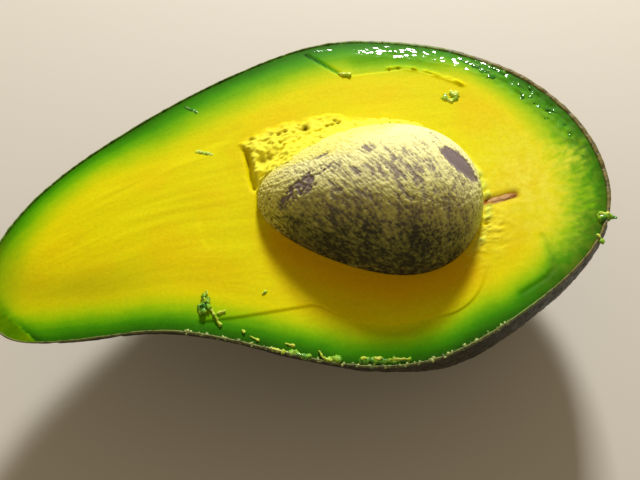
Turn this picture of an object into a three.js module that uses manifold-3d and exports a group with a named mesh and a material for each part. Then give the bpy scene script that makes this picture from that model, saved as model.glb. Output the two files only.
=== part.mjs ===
// One half of a ripe avocado, cut lengthwise and lying on its back with the cut face up and the seed still in it.
// Millimetres, +Z up. The origin is the middle of the small flat spot that the fruit rests on,
// with the stem end towards -X and the blossom end towards +X.
import * as THREE from "three";
import { ImprovedNoise } from "three/addons/math/ImprovedNoise.js";
import { mergeVertices } from "three/addons/utils/BufferGeometryUtils.js";
import Module from "manifold-3d";

const wasm = await Module();
wasm.setup();
const { clamp, degToRad, smoothstep } = THREE.MathUtils;

// The whole fruit. Places along it run from -1 at the stem end to 1 at the blossom end.
const fruit = {
  length: 120,
  middle: -8, // from the rest spot to the middle of the length
  cutHeight: 34, // of the cut face over the surface that the fruit lies on
  neck: { halfWidth: 25.5, depth: 23 },
  belly: { halfWidth: 38.5, depth: 35.2 },
  widening: [-0.6, 0.35], // where the neck swells into the belly, seen from above
  deepening: [-0.75, 0.2], // and seen from the side
  bluntness: { stem: 0.25, blossom: 0.12, power: 8 }, // how much fuller each end is than an ellipse
  crook: { shift: 8, start: -0.4 }, // the neck bends to the near side
  droop: { shift: 3, start: 0.55 }, // and so does the blossom end, a little
  lean: { shift: 1.8, at: -0.35, run: 0.3 }, // while the waist leans to the far side
  bulge: { far: 2.2, blossom: [2.2, -1.4], handover: [0, 0.45] }, // the flanks swell out below the cut
};

const skinThickness = 1;
const gap = 0.3; // between pieces that touch
const weld = 1e-4; // vertices closer than this are one
const pebble = { size: 7, height: 0.45 }; // the skin's bumps
const scar = { radius: 3.6, height: 0.7, taper: 0.85, sides: 14 };

// The seed, an egg with its blunt end towards the blossom end.
const seed = {
  centre: [5, -3.2],
  length: 42.6,
  radius: 14.2,
  bluntness: 0.22,
  turn: degToRad(-13.5),
  bump: { size: 5, height: 0.3 },
};

// What the knife left on the cut face.
const cut = {
  wave: { size: 26, height: 0.35, layer: 0.5 },
  rolledEdge: { width: 3.5, drop: 0.9, from: -8, to: 10 }, // the rim turns down on the far side
  slabCells: [38, 26],
  facet: { at: [-60.8, -13], outward: degToRad(218), slope: degToRad(24), block: [60, 80, 30] },
  step: {
    depth: 0.55, // the near border lies a little lower
    block: { reach: 48, height: 8 }, // what is taken off over it
    division: 3,
    edge: [
      [-40, -26],
      [-31, -20.9],
      [-21.6, -21.6],
      [-9.4, -22.7],
      [-5, -24.8],
      [-1.6, -27.5],
      [2, -28.9],
      [8, -29.1],
      [13.8, -29],
      [19.4, -27.1],
      [24, -24.5],
      [30, -26],
    ],
  },
};

// The brown strand that led to the seed's base, lying in a groove of the cut face.
const strand = { from: [27, -8.7], to: [33, -7.9], radius: 0.6, taper: 0.42, sink: 0.3, cells: [10, 3] };

// Torn flesh that clings to the seed on its far side, with a ragged lip of small lumps.
const collar = {
  thickness: 1.9,
  patch: { at: [-8, 11, 1], size: [17, 12, 8], turn: degToRad(20) },
  lip: { count: 15, from: degToRad(68), step: degToRad(7.5), size: [0.9, 1.9], reach: [0.99, 1.1] },
};

// Every lump is a dented ball. These are its dents, and how long, wide and high one of size 1 is.
const dents = { depth: 0.45, scale: 1.7, places: [0, 50] };
const proportions = { lip: [1.3, 1, 0.7], bit: [1.3, 0.6] };

// Crumbs that the knife pushed up: the place, the length, width and height, and the turn in degrees.
const crumbs = [
  [-29, -18.4, [1.7, 1, 1.3], 100],
  [-27.6, -20.4, [1, 0.7, 0.8], 120],
  [-25.2, -19.2, [1.2, 0.6, 0.6], 10],
  [6.4, 27.6, [1.1, 0.7, 0.8], 0],
  [19.8, 25.8, [1.7, 0.6, 0.7], -15],
  [23, 24.7, [1.9, 0.6, 0.9], -25],
  [26.2, 23, [2, 0.7, 0.9], -32],
  [29.2, 20.8, [1.7, 0.7, 0.9], -38],
  [27.4, 17.2, [1.3, 0.9, 0.9], -20],
];

// Frayed bits of the skin's edge on the near rim, and the green nub near the blossom end.
const fray = { count: 12, from: -0.22, step: 0.042, jitter: 0.02, size: [0.9, 1.5], height: 0.35, sink: 0.3 };
const nub = { place: 0.93, size: 1.3, height: 0.8 };

// How finely each form is divided, around it and along it.
const fineness = { skin: [60, 50], flesh: [32, 30], seed: [36, 28], collar: [24, 20] };

const noise = new ImprovedNoise();

// A small repeatable random source, so that every build gives the same crumbs.
const randomModulus = 2147483647;
let randomState = 7;
function random([low, high]) {
  randomState = (randomState * 16807) % randomModulus;
  return low + ((high - low) * randomState) / randomModulus;
}

// Makes a closed solid that can be joined and cut from a three.js geometry.
function solid(geometry) {
  const bare = geometry.clone();
  bare.deleteAttribute("normal");
  bare.deleteAttribute("uv");
  const merged = mergeVertices(bare, weld);
  return new wasm.Manifold(
    new wasm.Mesh({
      numProp: 3,
      vertProperties: new Float32Array(merged.attributes.position.array),
      triVerts: new Uint32Array(merged.index.array),
    }),
  );
}

// Moves every vertex of a geometry by a function of its position.
function reshape(geometry, move) {
  const position = geometry.attributes.position;
  const point = new THREE.Vector3();
  for (let i = 0; i < position.count; i++) {
    move(point.fromBufferAttribute(position, i));
    position.setXYZ(i, point.x, point.y, point.z);
  }
  return geometry;
}

// A unit sphere whose poles are the two ends of the X axis.
function lengthwiseSphere([around, along]) {
  return new THREE.SphereGeometry(1, around, along).rotateZ(-Math.PI / 2);
}

// The noise over a unit sphere that was stretched to these half sizes, with bumps of one size.
function bumpsOver(p, [x, y, z], size) {
  return noise.noise((p.x * x) / size, (p.y * y) / size, (p.z * z) / size);
}

// The girth at a place along the fruit, as a multiple of the ellipse through both ends.
function girth(place, neck, belly, [start, end]) {
  const { stem, blossom, power } = fruit.bluntness;
  const fuller = 1 + (place < 0 ? stem : blossom) * place ** power;
  return (neck + (belly - neck) * smoothstep(place, start, end)) * fuller;
}

const halfWidth = (place) => girth(place, fruit.neck.halfWidth, fruit.belly.halfWidth, fruit.widening);
const depth = (place) => girth(place, fruit.neck.depth, fruit.belly.depth, fruit.deepening);

// How far the middle of the fruit lies to the far side at a place along it.
function centreline(place) {
  const { crook, droop, lean } = fruit;
  const bend = Math.max(0, (crook.start - place) / (crook.start + 1));
  const sag = Math.max(0, (place - droop.start) / (1 - droop.start));
  const waist = Math.exp(-(((place - lean.at) / lean.run) ** 2));
  return lean.shift * waist - crook.shift * bend ** 2 - droop.shift * sag ** 2;
}

// The whole fruit's outer form, drawn in by an inset and raised by the skin's bumps.
function wholeFruit(cells, inset, bumps = 0) {
  const { bulge, belly, length, middle, cutHeight } = fruit;
  return reshape(lengthwiseSphere(cells), (p) => {
    const place = p.x;
    const rise = bumps * bumpsOver(p, [length / 2, belly.halfWidth, belly.depth], pebble.size) - inset;
    const swelling = Math.sin(Math.PI * clamp(-p.z, 0, 1));
    const blossomShare = smoothstep(place, ...bulge.handover);
    const [alongShift, acrossShift] = bulge.blossom;
    p.x = middle + place * (length / 2 + rise) + alongShift * blossomShare * swelling;
    p.y = centreline(place) + p.y * (halfWidth(place) + rise);
    p.y += (bulge.far + (acrossShift - bulge.far) * blossomShare) * swelling;
    p.z = cutHeight + p.z * (depth(place) + rise);
  });
}

// The distance in from the rim, measured across the fruit.
function fromRim(x, y) {
  const place = clamp((2 * (x - fruit.middle)) / fruit.length, -1, 1);
  return halfWidth(place) * Math.sqrt(1 - place ** 2) - Math.abs(y - centreline(place));
}

// The cut face's height, with its slow waves and the far rim rolled down.
function cutSurface(x, y) {
  const { wave, rolledEdge } = cut;
  const nearness = clamp(1 - fromRim(x, y) / rolledEdge.width, 0, 1);
  const farSide = smoothstep(y, rolledEdge.from, rolledEdge.to);
  const waves = wave.height * noise.noise(x / wave.size, y / wave.size, wave.layer);
  return fruit.cutHeight + waves - rolledEdge.drop * farSide * nearness ** 2;
}

// A slab from the surface that the fruit lies on up to the cut face.
function keptSlab() {
  const margin = 8;
  const block = new THREE.BoxGeometry(
    fruit.length + margin,
    2 * (fruit.belly.halfWidth + margin),
    1,
    ...cut.slabCells,
    1,
  );
  block.translate(fruit.middle, 0, 0.5);
  return solid(reshape(block, (p) => (p.z = p.z > 0.5 ? cutSurface(p.x, p.y) : 0)));
}

// What a second knife stroke took off at the stem end: a block over a sloping plane.
function stemFacet() {
  const { at, outward, slope, block } = cut.facet;
  const [length, width, height] = block;
  const taken = new THREE.BoxGeometry(length, width, height).translate(length / 2, 0, height / 2);
  return solid(taken.rotateY(slope).rotateZ(outward).translate(...at, fruit.cutHeight));
}

// The near border of the cut face, which the knife left a little lower.
function nearStep() {
  const { depth: drop, block, division, edge } = cut.step;
  const line = new THREE.SplineCurve(edge.map(([x, y]) => new THREE.Vector2(x, y)));
  const outline = line.getPoints(division * edge.length);
  outline.push(new THREE.Vector2(edge.at(-1)[0], -block.reach), new THREE.Vector2(edge[0][0], -block.reach));
  const band = new THREE.ExtrudeGeometry(new THREE.Shape(outline), { depth: block.height, bevelEnabled: false });
  return solid(band.translate(0, 0, fruit.cutHeight - drop));
}

// The seed's egg, swollen by some amount all over.
function egg(swelling, cells = fineness.seed) {
  const { length, radius, bluntness, bump } = seed;
  const form = reshape(lengthwiseSphere(cells), (p) => {
    const rise = swelling + bump.height * bumpsOver(p, [length / 2, radius, radius], bump.size);
    const round = (radius + rise) * (1 + bluntness * p.x);
    p.set(p.x * (length / 2 + rise), p.y * round, p.z * round);
  });
  return form.rotateZ(seed.turn).translate(...seed.centre, fruit.cutHeight);
}

// A lump of torn flesh: a dented ball of its own length, width and height, turned about the vertical.
function lump(x, y, z, size, turn, detail = 1) {
  const { depth: dent, scale, places } = dents;
  const place = random(places);
  const ball = reshape(new THREE.IcosahedronGeometry(1, detail), (p) => {
    p.multiplyScalar(1 + dent * noise.noise(p.x * scale + place, p.y * scale, p.z * scale));
    p.set(p.x * size[0], p.y * size[1], p.z * size[2]);
  });
  return ball.rotateZ(turn).translate(x, y, z);
}

// The flesh that tore up along the seed when the halves were twisted apart.
function tornCollar() {
  const { thickness, patch, lip } = collar;
  const [x0, y0, rise] = patch.at;
  const clinging = lump(x0, y0, fruit.cutHeight + rise, patch.size, patch.turn, 2);
  let torn = solid(egg(thickness, fineness.collar)).intersect(solid(clinging));
  for (let i = 0; i < lip.count; i++) {
    const around = lip.from + i * lip.step + seed.turn;
    const reach = random(lip.reach);
    const size = random(lip.size);
    const x = seed.centre[0] + (Math.cos(around) * seed.length * reach) / 2;
    const y = seed.centre[1] + Math.sin(around) * seed.radius * reach;
    const turn = random([0, Math.PI]);
    const sides = proportions.lip.map((share) => share * size);
    torn = torn.add(solid(lump(x, y, fruit.cutHeight, sides, turn)));
  }
  return torn;
}

// The strand's tapering rod, swollen by some amount to cut its groove.
function strandForm(swelling) {
  const [[x0, y0], [x1, y1]] = [strand.from, strand.to];
  const length = Math.hypot(x1 - x0, y1 - y0) + 2 * swelling;
  const radii = [strand.taper + swelling, strand.radius + swelling];
  const rod = new THREE.CylinderGeometry(...radii, length, ...strand.cells);
  rod.rotateZ(Math.atan2(y1 - y0, x1 - x0) - Math.PI / 2);
  return rod.translate((x0 + x1) / 2, (y0 + y1) / 2, fruit.cutHeight - strand.sink);
}

// A point of the near rim, drawn in to the middle of the skin's thickness.
function nearRim(place) {
  const reach = halfWidth(place) * Math.sqrt(1 - place ** 2) - skinThickness / 2;
  return new THREE.Vector2(fruit.middle + (place * fruit.length) / 2, centreline(place) - reach);
}

// The frayed bits and the nub, each laid along the rim.
function frayedEdge() {
  const bits = Array.from({ length: fray.count }, (_, i) => ({
    place: fray.from + i * fray.step + random([-fray.jitter, fray.jitter]),
    size: random(fray.size),
    height: fray.height,
  }));
  return [...bits, nub].map(({ place, size, height }) => {
    const { x, y } = nearRim(place);
    const along = nearRim(place + fray.jitter).sub(nearRim(place - fray.jitter)).angle();
    const sides = proportions.bit.map((share) => share * size);
    return solid(lump(x, y, fruit.cutHeight - fray.sink, [...sides, height], along));
  });
}

// The corky scar where the stem came off, a low disc that the cut divides.
function stemScar() {
  const { radius, height, taper, sides } = scar;
  const disc = new THREE.CylinderGeometry(radius * taper, radius, 2 * height, sides).rotateZ(Math.PI / 2);
  return solid(disc.translate(fruit.middle - fruit.length / 2, centreline(-1), fruit.cutHeight));
}

// Turns a solid back into a flat-shaded mesh of its own name, colour and finish.
function mesh(name, body, colour, roughness) {
  const { numProp, numVert, vertProperties, triVerts } = body.getMesh();
  const position = new Float32Array(numVert * 3);
  for (let i = 0; i < numVert; i++) position.set(vertProperties.subarray(i * numProp, i * numProp + 3), i * 3);
  const geometry = new THREE.BufferGeometry();
  geometry.setAttribute("position", new THREE.BufferAttribute(position, 3));
  geometry.setIndex(new THREE.BufferAttribute(triVerts, 1));
  geometry.computeVertexNormals();
  const material = new THREE.MeshStandardMaterial({ color: colour, roughness, metalness: 0, flatShading: true });
  const made = new THREE.Mesh(geometry, material);
  made.name = name;
  return made;
}

const slab = keptSlab();

function skin() {
  const outside = solid(wholeFruit(fineness.skin, 0, pebble.height)).add(stemScar());
  const frayed = frayedEdge().reduce((joined, bit) => joined.add(bit), outside.intersect(slab));
  return frayed.subtract(stemFacet()).subtract(solid(wholeFruit(fineness.flesh, skinThickness)));
}

function flesh() {
  const core = solid(wholeFruit(fineness.flesh, skinThickness + gap)).intersect(slab);
  const cutCore = core.subtract(stemFacet()).subtract(nearStep());
  const raised = crumbs.reduce((joined, [x, y, size, turn]) => {
    return joined.add(solid(lump(x, y, fruit.cutHeight, size, degToRad(turn))));
  }, cutCore.add(tornCollar()));
  return raised.subtract(solid(egg(gap))).subtract(solid(strandForm(gap)));
}

const half = new THREE.Group();
half.add(
  mesh("skin", skin(), 0x3c4a22, 0.45),
  mesh("flesh", flesh(), 0xe2d21e, 0.4),
  mesh("seed", solid(egg(0)), 0x8a7a52, 0.7),
  mesh("seed_strand", solid(strandForm(0)), 0x9a6a44, 0.7),
);

export default half;
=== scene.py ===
# Half of a ripe avocado with its seed, lying cut face up. The forms are worked out in millimetres.
import math

import bmesh
import bpy
import numpy as np
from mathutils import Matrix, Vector, kdtree, noise


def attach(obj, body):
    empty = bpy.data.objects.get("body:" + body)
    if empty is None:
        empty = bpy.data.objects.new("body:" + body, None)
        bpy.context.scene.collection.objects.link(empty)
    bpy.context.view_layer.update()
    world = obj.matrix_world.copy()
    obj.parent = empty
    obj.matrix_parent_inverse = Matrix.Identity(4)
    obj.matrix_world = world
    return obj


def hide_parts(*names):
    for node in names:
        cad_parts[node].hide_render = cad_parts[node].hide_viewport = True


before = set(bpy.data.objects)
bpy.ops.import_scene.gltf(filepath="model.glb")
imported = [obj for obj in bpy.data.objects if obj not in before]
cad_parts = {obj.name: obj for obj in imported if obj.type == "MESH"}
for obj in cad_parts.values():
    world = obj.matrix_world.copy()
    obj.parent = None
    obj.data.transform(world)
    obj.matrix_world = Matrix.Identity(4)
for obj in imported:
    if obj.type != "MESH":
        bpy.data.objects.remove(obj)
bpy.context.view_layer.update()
mm = 0.001  # one millimetre in the scene's metres

# The whole fruit. Places along it run from -1 at the stem end to 1 at the blossom end.
fruit = {
    "length": 120,
    "middle": -8,
    "cutHeight": 34,
    "neck": (25.5, 23),  # half width and depth
    "belly": (38.5, 35.2),
    "widening": (-0.6, 0.35),
    "deepening": (-0.75, 0.2),
    "bluntness": (0.25, 0.12, 8),  # of the stem end and the blossom end, and the power
    "crook": (8, -0.4),  # shift and start
    "droop": (3, 0.55),
    "lean": (1.8, -0.35, 0.3),  # shift, place and run
    "shoulders": [(0.74, 0.28, 1.1), (-0.9, 0.16, 0.4)],  # place, run and rise on the far side
    "shoulderReach": 0.7,  # how far across they are full
    "farBulge": 2.2,
    "blossomBulge": (2.2, -1.4),
    "bulgeHandover": (0, 0.45),
}

# The seed's egg, with its blunt end towards the blossom end.
seedForm = {
    "centre": (5, -3.2),
    "length": 42.6,
    "radius": 14.2,
    "bluntness": 0.22,
    "turn": math.radians(-13.5),
    "endShare": 0.4,  # of a swelling, that also lengthens the egg
}
seedSag = {"at": (0.42, -0.8), "reach": 0.62, "rise": 1.25}  # the fuller part of its near side


def smoothstep(value, low, high):
    share = np.clip((value - low) / (high - low), 0, 1)
    return share * share * (3 - 2 * share)


def bell(offset, width):
    # 1 in the middle, falling softly to 0 on both sides
    return np.exp(-((offset / width) ** 2))


def noiseOver(points, size, octaves=3, shift=0.0):
    # fractal noise over points in millimetres; size may differ along each axis
    scaled = np.asarray(points) / np.asarray(size, float) + shift
    return np.array([noise.fractal(Vector(p), 1.0, 2.0, octaves) for p in scaled])


def flatPoints(x, y):
    return np.stack([x, y, 0 * x], axis=1)


def girth(place, neck, belly, spread):
    stem, blossom, power = fruit["bluntness"]
    fuller = 1 + np.where(place < 0, stem, blossom) * place**power
    return (neck + (belly - neck) * smoothstep(place, *spread)) * fuller


def halfWidth(place):
    return girth(place, fruit["neck"][0], fruit["belly"][0], fruit["widening"])


def depth(place):
    return girth(place, fruit["neck"][1], fruit["belly"][1], fruit["deepening"])


def centreline(place):
    crookShift, crookStart = fruit["crook"]
    droopShift, droopStart = fruit["droop"]
    leanShift, leanAt, leanRun = fruit["lean"]
    bend = np.maximum(0, (crookStart - place) / (crookStart + 1))
    sag = np.maximum(0, (place - droopStart) / (1 - droopStart))
    return leanShift * bell(place - leanAt, leanRun) - crookShift * bend**2 - droopShift * sag**2


def fruitSurface(unit, rise):
    # the fruit's surface over a unit ball, raised or drawn in by some millimetres
    place = unit[:, 0]
    swelling = np.sin(np.pi * np.clip(-unit[:, 2], 0, 1))
    blossomShare = smoothstep(place, *fruit["bulgeHandover"])
    alongShift, acrossShift = fruit["blossomBulge"]
    x = fruit["middle"] + place * (fruit["length"] / 2 + rise) + alongShift * blossomShare * swelling
    swell = sum(height * bell(place - at, run) for at, run, height in fruit["shoulders"])
    swell = swell * smoothstep(unit[:, 1], 0, fruit["shoulderReach"])
    y = centreline(place) + unit[:, 1] * (halfWidth(place) + rise + swell)
    y = y + (fruit["farBulge"] + (acrossShift - fruit["farBulge"]) * blossomShare) * swelling
    z = fruit["cutHeight"] + unit[:, 2] * (depth(place) + rise)
    return np.stack([x, y, z], axis=1)


def seedSurface(unit, swelling):
    # the seed's egg over a unit ball whose X axis is the seed's own length
    turn = seedForm["turn"]
    offAt = np.hypot(unit[:, 0] - seedSag["at"][0], unit[:, 1] - seedSag["at"][1])
    swelling = swelling + seedSag["rise"] * bell(offAt, seedSag["reach"])
    radius = (seedForm["radius"] + swelling) * (1 + seedForm["bluntness"] * unit[:, 0])
    lengthways = unit[:, 0] * (seedForm["length"] / 2 + seedForm["endShare"] * swelling)
    sideways = unit[:, 1] * radius
    x = seedForm["centre"][0] + lengthways * math.cos(turn) - sideways * math.sin(turn)
    y = seedForm["centre"][1] + lengthways * math.sin(turn) + sideways * math.cos(turn)
    return np.stack([x, y, fruit["cutHeight"] + unit[:, 2] * radius], axis=1)


def unitBall(turn, elevation):
    flat = np.cos(elevation)
    return np.stack([flat * np.cos(turn), flat * np.sin(turn), np.sin(elevation)], axis=1)


def evenTurns(outline):
    # the angle for each share of an outline's length, so that points along it lie evenly
    angle = np.linspace(0, 2 * np.pi, 2001)
    points = outline(angle)
    length = np.concatenate([[0], np.cumsum(np.linalg.norm(np.diff(points, axis=0), axis=1))])
    return length / length[-1], angle


rimShares, rimAngles = evenTurns(lambda angle: fruitSurface(unitBall(angle, 0 * angle), 0))
seedShares, seedAngles = evenTurns(lambda angle: seedSurface(unitBall(angle, 0 * angle), 0))

# What the knife left on the cut face, in millimetres seen from above.
cutFace = {
    "wave": (26, 0.25),  # size and height
    "rolledEdge": (5.0, 0.9, -8, 10),  # width, drop, and where across the fruit it starts and is full
    "rollEnd": (34, 44, 0.75),  # where along the fruit the rolled edge fades, and by how much
    "facet": (-62.6, -13.4, math.radians(216), math.tan(math.radians(24))),  # place, direction and fall
    "stepDepth": 0.26,
    "stepEdge": [
        (-40, -20.5), (-31, -20.9), (-21.5, -21.6), (-9.5, -22.1), (-6.5, -24.6), (-3.5, -26.8),
        (2.5, -29), (14, -29.1), (17, -28), (19.5, -26.2), (21, -24.2), (23, -21),
    ],
    "stepRun": (-31, 24, 5),  # its start, its end, and how far it takes to end
    "stepSoftness": 0.25,
    "sliceEdge": [(6, 26.9), (10.8, 26.7), (15.9, 26.3), (20, 26.2), (24.9, 23.6), (28, 21.5), (31, 19.4)],
    "sliceDepth": 0.25,
    "sliceDrop": (-0.2, 0.3),  # where it falls, past its edge
    "sliceFade": (2, 6, 5),  # where it runs out, and how far it takes to end on both sides
    "ridge": [(17, 27.0), (19, 26.9), (22, 25.8), (25, 24.2), (28, 22.0), (30.5, 19.9)],
    "ridgeForm": (0.75, 0.5, 1.6),  # height, width and the size of its unevenness
    "ridgeLevel": (0.55, 1.1, 0.1),  # its middle, its swing and its least
    "scratch": [(0.6, 34.6), (3.3, 31.3), (6.2, 28.0)],
    "scratchForm": (0.35, 0.26),  # depth and width
    "fold": [(34.6, -17.5), (34.9, -22.0), (34.6, -24.4), (32.7, -25.9), (30.3, -26.8), (27.2, -28.0)],
    "foldForm": (0.14, 0.45),
    "groove": [(25.9, -8.4), (32.6, -7.8)],
    "grooveForm": (0.45, 0.95),
    "drag": (0.012, (14, 0.9, 3)),  # height and size of the fine marks along the cut
    "ripple": (0.03, (3.2, 9, 3)),
}

# The flesh that tore up beside the seed: a rough plateau with a cliff on its left, and holes in its top.
tornForm = {
    "height": 1.1,
    "cliffRise": (0.3, -0.3, 0.35),  # how far right of the cliff's line, its foot and its top
    "cliff": [(-15.0, 2.0), (-15.6, 4.3), (-15.8, 7.3), (-15.6, 10.8), (-15.8, 12.8), (-17.5, 15)],
    "farEdge": [
        (-17, 15.2), (-15.6, 16.0), (-12.2, 17.2), (-7.3, 17.9),
        (-2.1, 18.4), (3.0, 17.9), (6.1, 16.4), (12, 15),
    ],
    "edgeWander": (0.7, 2.4),  # height and size
    "farFall": (-2.6, 0.4),  # where the plateau falls off, past its far edge
    "rightFall": (2, 12),
    "nearRise": (3, 7),
    "crevice": (1.1, 0.45, 0.75),  # depth, width and place left of the cliff
    "creviceRun": (2.5, 14, 3),
    "rough": (0.55, 2.2),  # height and size
    "crumbly": (0.3, 0.75),
    "pits": [  # place, radius and depth
        (-3.6, 15.4, 0.85, 1.2), (-10.6, 15.4, 0.6, 0.8), (-9.0, 15.2, 0.55, 0.7), (-7.6, 15.5, 0.4, 0.5),
        (-4.8, 16.6, 0.45, 0.5), (0.7, 14.8, 0.45, 0.7), (1.6, 14.9, 0.35, 0.6), (3.1, 15.3, 0.5, 0.9),
        (2.6, 16.1, 0.3, 0.7), (-14.5, 15.3, 0.6, 0.7), (-14.0, 14.9, 0.45, 0.6), (-1.2, 13.3, 0.7, 0.7),
        (-2.9, 12.9, 0.35, 0.6), (-9.3, 13.0, 0.5, 0.5), (-13.4, 9.6, 0.9, 0.5), (-12.0, 9.9, 0.9, 0.4),
    ],
}


def fromRim(x, y):
    # the distance in from the skin's outer edge, measured across the fruit
    place = np.clip(2 * (x - fruit["middle"]) / fruit["length"], -1, 1)
    reach = halfWidth(place) * np.sqrt(np.maximum(0, 1 - place**2))
    return reach - np.abs(y - centreline(place))


def lineHeight(x, points):
    # a smooth line through a few points, as y over x
    steps, spread = 200, 15
    xs, ys = np.array(points).T
    fine = np.linspace(xs[0], xs[-1], steps)
    coarse = np.interp(fine, xs, ys)
    kernel = np.hanning(spread)
    smooth = np.convolve(np.pad(coarse, spread // 2, mode="edge"), kernel / kernel.sum(), mode="valid")
    return np.interp(x, fine, smooth)


def fromLine(x, y, points):
    # the distance from a line of a few straight stretches
    nearest = np.full_like(x, 1e9)
    for (x0, y0), (x1, y1) in zip(points, points[1:]):
        length = math.hypot(x1 - x0, y1 - y0)
        share = np.clip(((x - x0) * (x1 - x0) + (y - y0) * (y1 - y0)) / length**2, 0, 1)
        nearest = np.minimum(nearest, np.hypot(x - x0 - share * (x1 - x0), y - y0 - share * (y1 - y0)))
    return nearest


def along(x, y, points, width):
    # 1 on a line, falling softly to 0 beside it
    return bell(fromLine(x, y, points), width)


def around(x, y, place, size, turn=0.0):
    # 1 in the middle of an oval, falling softly to 0 outside it
    dx, dy = x - place[0], y - place[1]
    cos, sin = math.cos(turn), math.sin(turn)
    return np.exp(-(((dx * cos + dy * sin) / size[0]) ** 2 + ((dy * cos - dx * sin) / size[1]) ** 2))


def within(x, start, end, fade):
    return smoothstep(x, start, start + fade) * (1 - smoothstep(x, end - fade, end))


def underStep(x, y):
    start, end, fade = cutFace["stepRun"]
    soft = cutFace["stepSoftness"]
    below = smoothstep(lineHeight(x, cutFace["stepEdge"]) - y, -soft, soft)
    return below * smoothstep(x, start, start + 1) * (1 - smoothstep(x, end - fade, end))


def beyondSlice(x, y):
    edge = cutFace["sliceEdge"]
    past = y - lineHeight(x, edge)
    fadeStart, fadeEnd, ends = cutFace["sliceFade"]
    run = within(x, edge[0][0], edge[-1][0], ends)
    return smoothstep(past, *cutFace["sliceDrop"]) * (1 - smoothstep(past, fadeStart, fadeEnd)) * run


def ridgeShare(x, y):
    # the soft uneven lip of flesh that was pushed up along the slice
    _, width, unevenness = cutFace["ridgeForm"]
    level, swing, least = cutFace["ridgeLevel"]
    uneven = noiseOver(flatPoints(x, y), unevenness, 2, 17.0)
    return along(x, y, cutFace["ridge"], width) * np.clip(level + swing * uneven, least, 1)


def beyondFacet(x, y):
    atX, atY, outward, _ = cutFace["facet"]
    return (x - atX) * math.cos(outward) + (y - atY) * math.sin(outward)


def cutHeightAt(x, y):
    waveSize, waveHeight = cutFace["wave"]
    width, drop, start, full = cutFace["rolledEdge"]
    points = np.stack([x, y, np.full_like(x, 3.0)], axis=1)
    height = fruit["cutHeight"] + waveHeight * noiseOver(points, waveSize, 1)
    nearness = np.clip(1 - fromRim(x, y) / width, 0, 1)
    fadeStart, fadeEnd, fade = cutFace["rollEnd"]
    drop = drop * (1 - fade * smoothstep(x, fadeStart, fadeEnd))
    height = height - drop * smoothstep(y, start, full) * (0.5 * nearness + 0.5 * nearness**2)
    height = height - cutFace["stepDepth"] * underStep(x, y) - cutFace["sliceDepth"] * beyondSlice(x, y)
    height = height + cutFace["ridgeForm"][0] * ridgeShare(x, y)
    for name in ("scratch", "fold", "groove"):
        deep, wide = cutFace[name + "Form"]
        height = height - deep * along(x, y, cutFace[name], wide)
    return np.minimum(height, fruit["cutHeight"] - cutFace["facet"][3] * beyondFacet(x, y))


def nearestTo(outline):
    # a function for the distance in plan from an outline
    tree = kdtree.KDTree(len(outline))
    for index, place in enumerate(outline):
        tree.insert((place[0], place[1], 0), index)
    tree.balance()
    return lambda x, y: np.array([tree.find((a, b, 0))[2] for a, b in zip(x, y)])


fineTurns = np.linspace(0, 1, 1600, endpoint=False)
rimOutline = fruitSurface(unitBall(np.interp(fineTurns, rimShares, rimAngles), 0 * fineTurns), 0)
seedOutline = seedSurface(unitBall(np.interp(fineTurns, seedShares, seedAngles), 0 * fineTurns), 0)
fromRimSquarely = nearestTo(rimOutline)
fromSeed = nearestTo(seedOutline)


def tornMound(x, y):
    # how high the torn flesh stands over the cut face, how much of it is torn, and its holes, whose mask
    # paints shade into them
    form = tornForm
    cliffX, cliffY = np.array(form["cliff"]).T
    shift, foot, top = form["cliffRise"]
    fromCliff = x - np.interp(y, cliffY, cliffX) - shift
    side = smoothstep(fromCliff, foot, top)
    wanderHeight, wanderSize = form["edgeWander"]
    beyond = y - lineHeight(x, form["farEdge"])
    beyond = beyond + wanderHeight * noiseOver(flatPoints(x, y), wanderSize, 3, 21.0)
    share = side * (1 - smoothstep(beyond, *form["farFall"])) * (1 - smoothstep(x, *form["rightFall"]))
    share = share * smoothstep(y, *form["nearRise"])
    deep, wide, left = form["crevice"]
    crevice = deep * bell(fromCliff + left, wide) * within(y, *form["creviceRun"])
    hole = np.zeros_like(x)
    for atX, atY, radius, pitDepth in form["pits"]:
        hole = np.maximum(hole, pitDepth * bell(np.hypot(x - atX, y - atY), radius))
    return form["height"] * share - crevice - hole, share, np.clip(hole * 1.2, 0, 1)


def ballOf(meridians, rings):
    # a closed ball of rings and meridians, with each vertex's ring and share of the way round
    ball = bmesh.new()
    bmesh.ops.create_uvsphere(ball, u_segments=meridians, v_segments=rings, radius=1)
    ball.verts.ensure_lookup_table()
    places = np.array([v.co for v in ball.verts])
    ring = np.rint(np.arccos(np.clip(places[:, 2], -1, 1)) / np.pi * rings).astype(int)
    share = (np.arctan2(places[:, 1], places[:, 0]) / (2 * np.pi)) % 1.0
    share = (np.rint(share * meridians) % meridians) / meridians
    return ball, ring, share


def moveTo(body, places):
    for vertex, place in zip(body.verts, places):
        vertex.co = place


def displace(body, amount):
    # moves each vertex along its normal
    body.normal_update()
    for vertex, step in zip(body.verts, amount):
        vertex.co += vertex.normal * float(step)


def placesOf(body):
    return np.array([v.co for v in body.verts])


def finishPiece(body, name, material, node=None, masks=None):
    # turns a closed bmesh in millimetres into a shaded piece of the scene
    bmesh.ops.recalc_face_normals(body, faces=body.faces)
    bmesh.ops.scale(body, vec=(mm, mm, mm), verts=body.verts)
    for face in body.faces:
        face.smooth = True
    mesh = bpy.data.meshes.new(name)
    body.to_mesh(mesh)
    body.free()
    for maskName, values in (masks or {}).items():
        layer = mesh.attributes.new(maskName, "FLOAT", "POINT")
        layer.data.foreach_set("value", np.asarray(values, np.float32))
    mesh.materials.append(material)
    piece = bpy.data.objects.new(name, mesh)
    bpy.context.scene.collection.objects.link(piece)
    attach(piece, "root")
    if node:
        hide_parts(node)
    print(f"{name}: {len(mesh.polygons)} faces")


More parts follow.
